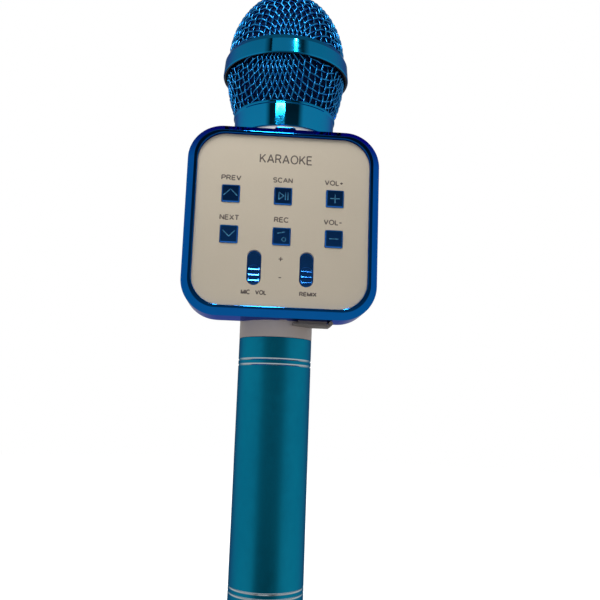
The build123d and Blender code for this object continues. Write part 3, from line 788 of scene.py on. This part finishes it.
def smooth_line(corners, steps):
    """Catmull-Rom curve through a wire's crossings."""
    padded = [2 * corners[0] - corners[1], *corners, 2 * corners[-1] - corners[-2]]
    line = []
    for a, b, c, d in zip(padded, padded[1:], padded[2:], padded[3:]):
        for step in range(steps):
            t = step / steps
            square = 2 * a - 5 * b + 4 * c - d
            cube = 3 * b - a - 3 * c + d
            line.append(0.5 * (2 * b + (c - a) * t + square * t**2 + cube * t**3))
    line.append(corners[-1])
    return line


def kept_runs(line, bottom, top):
    """Stretches of a line between two heights, cut exactly at them."""
    runs = []
    run = []
    for before, point in zip([None, *line], line):
        inside = bottom <= point[2] <= top
        was_inside = before is not None and bottom <= before[2] <= top
        if before is not None and inside != was_inside:
            level = bottom if min(before[2], point[2]) < bottom else top
            share = (level - before[2]) / (point[2] - before[2])
            run.append(before + (point - before) * share)
        if inside:
            run.append(point)
        elif run:
            runs.append(run)
            run = []
    if run:
        runs.append(run)
    return [r for r in runs if len(r) > 2]


def tube_mesh(line, radius, sides, points, faces):
    """Add a closed tube along a line to lists of points and faces."""
    start = len(points)
    line = np.array(line)
    tangents = np.gradient(line, axis=0)
    tangents /= np.linalg.norm(tangents, axis=1)[:, None]
    across = np.cross(tangents[0], (0.0, 0.0, 1.0))
    if np.linalg.norm(across) < 1e-3:
        across = np.cross(tangents[0], (1.0, 0.0, 0.0))
    for centre, tangent in zip(line, tangents):
        across = across - tangent * (across @ tangent)
        across = across / np.linalg.norm(across)
        up = np.cross(tangent, across)
        for side in range(sides):
            angle = 2 * pi * side / sides
            points.append(tuple(centre + radius * (cos(angle) * across + sin(angle) * up)))
    for row in range(len(line) - 1):
        for side in range(sides):
            here = start + row * sides
            after = here + sides
            follow = (side + 1) % sides
            faces.append((here + side, here + follow, after + follow, after + side))
    faces.append(tuple(start + side for side in reversed(range(sides))))
    faces.append(tuple(start + (len(line) - 1) * sides + side for side in range(sides)))


def woven(name, stands_for, profile, turn, bottom, top):
    """Basket of crimped wires that pass over and under each other at each crossing."""
    net = Net(profile, WIRE_PITCH)
    count = net.lay()
    angle = radians(turn)
    spin = np.array([[cos(angle), -sin(angle), 0], [sin(angle), cos(angle), 0], [0, 0, 1]])
    points = []
    faces = []
    for family in (0, 1):
        for wire in range(-count, count + 1):
            stretch = []
            stretches = [stretch]
            for step in range(-count, count + 1):
                key = (step, wire) if family == 0 else (wire, step)
                corner = net.nodes.get(key)
                if corner is None:
                    stretch = []
                    stretches.append(stretch)
                    continue
                over = 1 if (step + wire + family) % 2 == 0 else -1
                lifted = corner + net.normal(corner) * over * WIRE_RADIUS * 0.95
                stretch.append(spin @ lifted)
            for corners in stretches:
                if len(corners) < 3:
                    continue
                for run in kept_runs(smooth_line(corners, WIRE_STEPS), bottom, top):
                    tube_mesh(run, WIRE_RADIUS, WIRE_SIDES, points, faces)
    return piece(name, points, faces, "grille_metal", "head", [stands_for])


dome = dome_profile(WEAVE_INSET)
cup = cup_profile(WEAVE_INSET)
baskets = [
    woven("mesh_dome", "grille_upper", dome, DOME_NET_TURN, RING_TOP - 1.5, DOME_TOP),
    woven("mesh_cup", "grille_lower", cup, CUP_NET_TURN, CUP_BOTTOM + 0.1, CUP_TOP - 0.1),
]


# ---- foam lining ----

def foam_side(inset):
    """Outline behind both baskets, from the collar up to just beside the axis."""
    cup = [tuple(p) for p in cup_profile(inset + 0.4) if CUP_BOTTOM + 0.2 < p[1] < RING_BOTTOM]
    dome = [tuple(p) for p in dome_profile(inset) if p[1] > RING_TOP - 2 and p[0] > 0.2]
    return cup[::2] + dome[::-2]


def foam_lining():
    """Open-cell foam shell, with a rough skin."""
    outline = foam_side(FOAM_GAP) + foam_side(FOAM_GAP + FOAM_THICKNESS)[::-1]
    points, faces = spun(outline, 240)
    rough = []
    for point in points:
        spot = Vector(point)
        relief = field.noise(spot / FOAM_PORE) + 0.5 * field.noise(spot / FOAM_PORE * 2.3)
        outward = Vector((spot.x, spot.y, 0)).normalized()
        rough.append(tuple(spot + outward * relief * FOAM_RELIEF))
    made = piece("foam_lining", rough, faces, "foam", "head", ["foam_windscreen"])


foam_lining()


# ---- lettering and icons ----

def bend(x, z, half_width, half_height, start, end):
    """Part of an ellipse, between two angles in degrees."""
    return [
        (x + half_width * cos(radians(angle)), z + half_height * sin(radians(angle)))
        for angle in np.linspace(start, end, 17)
    ]


# Each letter is its width and its strokes, drawn in a line one unit high.
STEM = [(0, 0), (0, 1)]
BOWL = [(0, 1), *bend(0.34, 0.74, 0.26, 0.26, 90, -90), (0, 0.48)]
GLYPHS = {
    " ": (0.35, []),
    "A": (0.76, [[(0, 0), (0.38, 1)], [(0.38, 1), (0.76, 0)], [(0.13, 0.32), (0.63, 0.32)]]),
    "C": (0.74, [bend(0.42, 0.5, 0.42, 0.5, 45, 315)]),
    "E": (0.56, [STEM, [(0, 1), (0.56, 1)], [(0, 0.52), (0.52, 0.52)], [(0, 0), (0.58, 0)]]),
    "I": (0.0, [STEM]),
    "K": (0.66, [STEM, [(0, 0.34), (0.62, 1)], [(0.22, 0.58), (0.66, 0)]]),
    "L": (0.5, [STEM, [(0, 0), (0.5, 0)]]),
    "M": (0.76, [STEM, [(0, 1), (0.38, 0)], [(0.38, 0), (0.76, 1)], [(0.76, 1), (0.76, 0)]]),
    "N": (0.64, [STEM, [(0, 1), (0.64, 0)], [(0.64, 0), (0.64, 1)]]),
    "O": (0.84, [bend(0.42, 0.5, 0.42, 0.5, 0, 360)]),
    "P": (0.6, [STEM, BOWL]),
    "R": (0.64, [STEM, BOWL, [(0.36, 0.48), (0.64, 0)]]),
    "S": (0.64, [bend(0.32, 0.75, 0.3, 0.25, 30, 270) + bend(0.32, 0.25, 0.32, 0.25, 90, -150)[1:]]),
    "T": (0.64, [[(0, 1), (0.64, 1)], [(0.32, 0), (0.32, 1)]]),
    "V": (0.7, [[(0, 1), (0.35, 0)], [(0.35, 0), (0.7, 1)]]),
    "X": (0.66, [[(0, 0), (0.66, 1)], [(0, 1), (0.66, 0)]]),
    "+": (0.5, [[(0, 0.5), (0.5, 0.5)], [(0.25, 0.25), (0.25, 0.75)]]),
    "-": (0.44, [[(0, 0.48), (0.44, 0.48)]]),
}


def drawn(name, strokes, weight, rise, x, z, front, look, body, slot=None):
    """Line art on a face that looks to -Y: each stroke is a flat bar that stands a little proud."""
    points = []
    faces = []
    for stroke in strokes:
        line = [(x + across, 0.0, z + up) for across, up in stroke]
        tube_mesh(line, weight / 2, STROKE_SIDES, points, faces)
    flatness = 2 * rise / weight
    points = [(across, front + depth * flatness, up) for across, depth, up in points]
    return piece(name, points, faces, look, body)


def printed(name, strokes, weight, x, z):
    """Ink on the panel."""
    drawn(name, strokes, weight, INK_RISE, x, z, PANEL_FRONT, "label_ink", "microphone", slot="panel_sheet")


def words(name, letters, x, z, height, width, weight):
    """Printed words on the panel, centred at a place and fitted to a height and width."""
    strokes = []
    pen = 0.0
    for letter in letters:
        span, lines = GLYPHS[letter]
        strokes += [[(pen + across, up) for across, up in line] for line in lines]
        pen += span + LETTER_GAP
    total = pen - LETTER_GAP
    wide = (width - weight) / total
    tall = height - weight
    strokes = [
        [((across - total / 2) * wide, (up - 0.5) * tall) for across, up in line] for line in strokes
    ]
    printed(name, strokes, weight, x, z)


words("label_title", "KARAOKE", 0.6, 181.4, 3.8, 20.8, 0.52)
for name, letters, x, z, height, width in (
    ("label_previous", "PREV", LEFT_COLUMN, UPPER_ROW, 2.2, 7.8),
    ("label_scan", "SCAN", MIDDLE_COLUMN, UPPER_ROW, 2.2, 7.8),
    ("label_volume_up", "VOL+", RIGHT_COLUMN, UPPER_ROW, 2.2, 7.4),
    ("label_next", "NEXT", LEFT_COLUMN, LOWER_ROW, 2.2, 7.6),
    ("label_record", "REC", MIDDLE_COLUMN, LOWER_ROW, 2.2, 5.8),
    ("label_volume_down", "VOL-", RIGHT_COLUMN, LOWER_ROW, 2.2, 7.3),
    ("label_mic_volume", "MIC  VOL", -9.8, 127.8, 1.9, 9.9),
    ("label_remix", "REMIX", 11.0, 127.9, 1.8, 6.8),
):
    words(name, letters, x, z, height, width, LABEL_WEIGHT)
for name, z, strokes in (
    ("label_more", 141.2, [[(-0.8, 0), (0.8, 0)], [(0, -0.8), (0, 0.8)]]),
    ("label_less", 133.9, [[(-0.5, 0), (0.5, 0)]]),
):
    printed(name, strokes, 0.42, 0.0, z)

ICONS = {
    "previous": [[(-2.8, -0.9), (-0.1, 1.75)], [(-0.1, 1.75), (2.5, -0.9)]],
    "next": [[(-2.5, 1.45), (0.0, -1.0)], [(0.0, -1.0), (2.35, 1.45)]],
    "scan": [
        [(-1.7, -1.5), (-1.7, 1.5)],
        [(-1.7, 1.5), (0.3, 0.0)],
        [(0.3, 0.0), (-1.7, -1.5)],
        [(0.9, -1.6), (0.9, 1.6)],
        [(1.9, -1.6), (1.9, 1.6)],
    ],
    "volume_up": [[(-1.9, 0), (1.9, 0)], [(0, -1.9), (0, 1.9)]],
    "volume_down": [[(-1.8, 0), (1.8, 0)]],
    "record": [[(-1.7, 1.1), (1.2, 1.8)], bend(0.9, -1.2, 0.75, 0.75, 0, 360)],
}


def icon(name, strokes):
    """Raised icon in the middle of a key, riding on it."""
    key = f"button_{name}"
    body = f"key_{name}"
    x, _, z = (low(key) + high(key)) / 2
    front = low(key).y
    drawn(f"icon_{name}", strokes, ICON_WEIGHT, ICON_RISE, x, z, front, "icon_line", body, slot="key_navy")


for name, strokes in ICONS.items():
    icon(name, strokes)


# ---- slider ribs ----

def ribs(slider_node, body):
    """Three grip ribs over a slider's plain ones, each with a sloping face and a short drop below."""
    front = low(slider_node).y
    x = (low(slider_node).x + high(slider_node).x) / 2
    section = [
        (front + RIB_ROOT, RIB_HALF_HEIGHT),
        (front + 0.3, RIB_HALF_HEIGHT),
        (front + 0.2, RIB_HALF_HEIGHT - 0.04),
        (front - 0.16, 0.08 - RIB_HALF_HEIGHT),
        (front - 0.1, -RIB_HALF_HEIGHT),
        (front + RIB_ROOT, -RIB_HALF_HEIGHT),
    ]
    points = []
    faces = []
    count = len(section)
    for step in (-1, 0, 1):
        z = KNOB_MIDDLE + step * RIB_PITCH
        start = len(points)
        for side in (-RIB_HALF_LENGTH, RIB_HALF_LENGTH):
            points += [(x + side, depth, z + up) for depth, up in section]
        for i in range(count):
            follow = (i + 1) % count
            faces.append((start + i, start + follow, start + count + follow, start + count + i))
        faces.append(tuple(start + i for i in reversed(range(count))))
        faces.append(tuple(start + count + i for i in range(count)))
    made = piece(f"ribs_{body}", points, faces, "key_navy", body)
    edges = made.modifiers.new("edges", "BEVEL")
    edges.width = RIB_BEVEL * MM
    edges.segments = 2
    made.modifiers.new("flats", "WEIGHTED_NORMAL")
    return made


grips = [ribs("slider_mic_volume", "mic_volume_fader"), ribs("slider_remix", "remix_fader")]


# ---- materials on the CAD pieces ----

for row in frame["record"]["subparts"]:
    cad = frame["nodes"][row["node"]]
    cad.data.materials.clear()
    cad.data.materials.append(LOOKS[row["material_slot"]])


# ---- studio ----

def studio_world():
    """Pale studio: plain to the camera, even for soft light. Reflections see a dark front with a
    grey band at eye level, bright sides, and a ceiling and back that are dimmer."""
    world = bpy.data.worlds.new("studio")
    world.use_nodes = True
    tree = world.node_tree
    tree.nodes.clear()
    direction = node(tree, "ShaderNodeTexCoord").outputs["Generated"]
    parts = node(tree, "ShaderNodeSeparateXYZ", {0: direction})
    front = arithmetic(tree, "MULTIPLY", parts.outputs["Y"], -1.0)
    side = node(tree, "ShaderNodeMath", {0: parts.outputs["X"], 1: front}, operation="ARCTAN2").outputs[0]
    left_edge = spread(tree, side, *DARK_LEFT, 1.0, 0.0)
    right_edge = spread(tree, side, *DARK_RIGHT, 0.0, 1.0)
    up = parts.outputs["Z"]
    above = spread(tree, up, 0.7, 0.82, 0.0, 1.0)
    below = spread(tree, up, -0.78, -0.6, 1.0, 0.0)
    outside = arithmetic(tree, "MAXIMUM", left_edge, right_edge)
    outside = arithmetic(tree, "MAXIMUM", outside, arithmetic(tree, "MAXIMUM", above, below))
    rising = spread(tree, up, -0.2, -0.02, 0.06, 0.5)
    falling = spread(tree, up, 0.02, 0.16, 0.5, 0.1)
    above_band = spread(tree, up, 0.24, 0.34, 1.0, 0.3)
    dusk = arithmetic(tree, "MULTIPLY", arithmetic(tree, "MINIMUM", rising, falling), above_band)
    wall = between(tree, outside, dusk, SIDE_BRIGHTNESS)
    overhead = spread(tree, up, 0.35, 0.92, 1.0, 0.4)
    behind = spread(tree, front, -0.6, -0.95, 1.0, 0.65)
    shine = arithmetic(tree, "MULTIPLY", wall, arithmetic(tree, "MULTIPLY", overhead, behind))
    rays = node(tree, "ShaderNodeLightPath")
    shine = between(tree, rays.outputs["Is Diffuse Ray"], shine, SOFT_BRIGHTNESS)
    reflected = node(tree, "ShaderNodeBackground", {"Color": (1, 1, 1, 1), "Strength": shine})
    plain = node(tree, "ShaderNodeBackground", {"Color": BACKDROP, "Strength": 1.0})
    mixed = node(tree, "ShaderNodeMixShader", {0: rays.outputs["Is Camera Ray"]})
    tree.links.new(reflected.outputs[0], mixed.inputs[1])
    tree.links.new(plain.outputs[0], mixed.inputs[2])
    output = node(tree, "ShaderNodeOutputWorld")
    tree.links.new(mixed.outputs[0], output.inputs["Surface"])
    bpy.context.scene.world = world


def floor():
    """Plain pale floor: bright in itself, with a faint contact shadow, and lost far off."""
    look = new_look("pale_floor")
    tree = look.node_tree
    distance = node(tree, "ShaderNodeVectorMath", {0: place(tree)}, operation="LENGTH").outputs["Value"]
    far = spread(tree, distance, 0.25, 0.9, 0.0, 1.0)
    grain = spread(tree, noise(tree, 30.0), 0.3, 0.7, 0.84, 0.88)
    tone = node(tree, "ShaderNodeCombineColor", {0: grain, 1: grain, 2: grain}).outputs[0]
    near = node(tree, "ShaderNodeBsdfDiffuse", {"Color": tone})
    lift = node(tree, "ShaderNodeEmission", {"Color": BACKDROP, "Strength": 0.72})
    lit = node(tree, "ShaderNodeAddShader")
    tree.links.new(near.outputs[0], lit.inputs[0])
    tree.links.new(lift.outputs[0], lit.inputs[1])
    glow = node(tree, "ShaderNodeEmission", {"Color": BACKDROP, "Strength": 1.0})
    mixed = node(tree, "ShaderNodeMixShader", {0: far})
    tree.links.new(lit.outputs[0], mixed.inputs[1])
    tree.links.new(glow.outputs[0], mixed.inputs[2])
    output = node(tree, "ShaderNodeOutputMaterial")
    tree.links.new(mixed.outputs[0], output.inputs["Surface"])
    mesh = bpy.data.meshes.new("floor")
    angles = [2 * pi * step / FLOOR_SIDES for step in range(FLOOR_SIDES)]
    ring = [(FLOOR_RADIUS * cos(angle), FLOOR_RADIUS * sin(angle), 0.0) for angle in angles]
    mesh.from_pydata(ring, [], [tuple(range(FLOOR_SIDES))])
    mesh.materials.append(look)
    made = bpy.data.objects.new("floor", mesh)
    bpy.context.scene.collection.objects.link(made)
    made.visible_glossy = False
    made.visible_diffuse = False


def lamp(name, place_mm, size, power, target_mm, use, shape="RECTANGLE", size_y=None, only=None):
    """An area lamp that the camera itself doesn't see. Its use is to light or to be reflected,
    and it can be kept to a few objects only."""
    data = bpy.data.lights.new(name, "AREA")
    data.shape = shape
    data.size = size * MM
    data.size_y = (size_y or size) * MM
    data.energy = power
    made = bpy.data.objects.new(name, data)
    bpy.context.scene.collection.objects.link(made)
    made.location = Vector(place_mm) * MM
    towards = (Vector(target_mm) - Vector(place_mm)).normalized()
    made.rotation_mode = "QUATERNION"
    made.rotation_quaternion = towards.to_track_quat("-Z", "Y")
    made.visible_camera = False
    made.visible_glossy = use != "light"
    made.visible_diffuse = use != "reflection"
    if only:
        reached = bpy.data.collections.new(name + "_reaches")
        for target in only:
            reached.objects.link(target)
        made.light_linking.receiver_collection = reached


def camera():
    """Camera at the chosen place and turn."""
    forward = Vector((
        sin(CAMERA_PAN) * cos(CAMERA_TILT),
        cos(CAMERA_PAN) * cos(CAMERA_TILT),
        sin(CAMERA_TILT),
    ))
    level = Vector((cos(CAMERA_PAN), -sin(CAMERA_PAN), 0))
    upright = level.cross(forward)
    right = cos(CAMERA_ROLL) * level + sin(CAMERA_ROLL) * upright
    top = -sin(CAMERA_ROLL) * level + cos(CAMERA_ROLL) * upright
    turn = Matrix((right, top, -forward)).transposed()
    data = bpy.data.cameras.new("camera")
    data.lens = CAMERA_LENS
    data.clip_start = 0.01
    made = bpy.data.objects.new("camera", data)
    bpy.context.scene.collection.objects.link(made)
    made.matrix_world = Matrix.Translation(Vector(CAMERA_PLACE) * MM) @ turn.to_4x4()
    bpy.context.scene.camera = made


studio_world()
floor()
bezel = frame["nodes"]["bezel_frame"]
lamp("key_light", (-40, -150, 325), 140, 0.27, PANEL, "light")
lamp("low_light", (-60, -420, 60), 200, 0.2, HEAD, "light")
lamp("fill_light", (-200, -500, 900), 400, 1.4, HEAD, "light")
lamp("back_light", (300, 900, 800), 500, 4.0, HEAD, "light")
lamp("strip_light", (-1, -300, 560), 44, 2.0, PANEL, "reflection", size_y=200, only=[bezel])
lamp("grip_light", (-1, -300, 560), 44, 0.9, PANEL, "reflection", size_y=200, only=grips)
lamp("card", (-100, -545, 690), 400, 0.13, HEAD, "reflection", size_y=230)
lamp("window", (-370, -1870, 896), 640, 5.5, HEAD, "reflection", size_y=24, only=[collar_piece])
lamp("bulb", (200, -745, 860), 56, 8.0, HEAD, "reflection", shape="DISK", only=[ring_piece])
lamp("sparkle", (-60, -260, 560), 160, 1.0, HEAD, "reflection", only=baskets)
lamp("sparkle_low", (-240, -420, 250), 160, 0.7, HEAD, "reflection", only=baskets)
camera()
bpy.context.scene.view_settings.view_transform = "Standard"
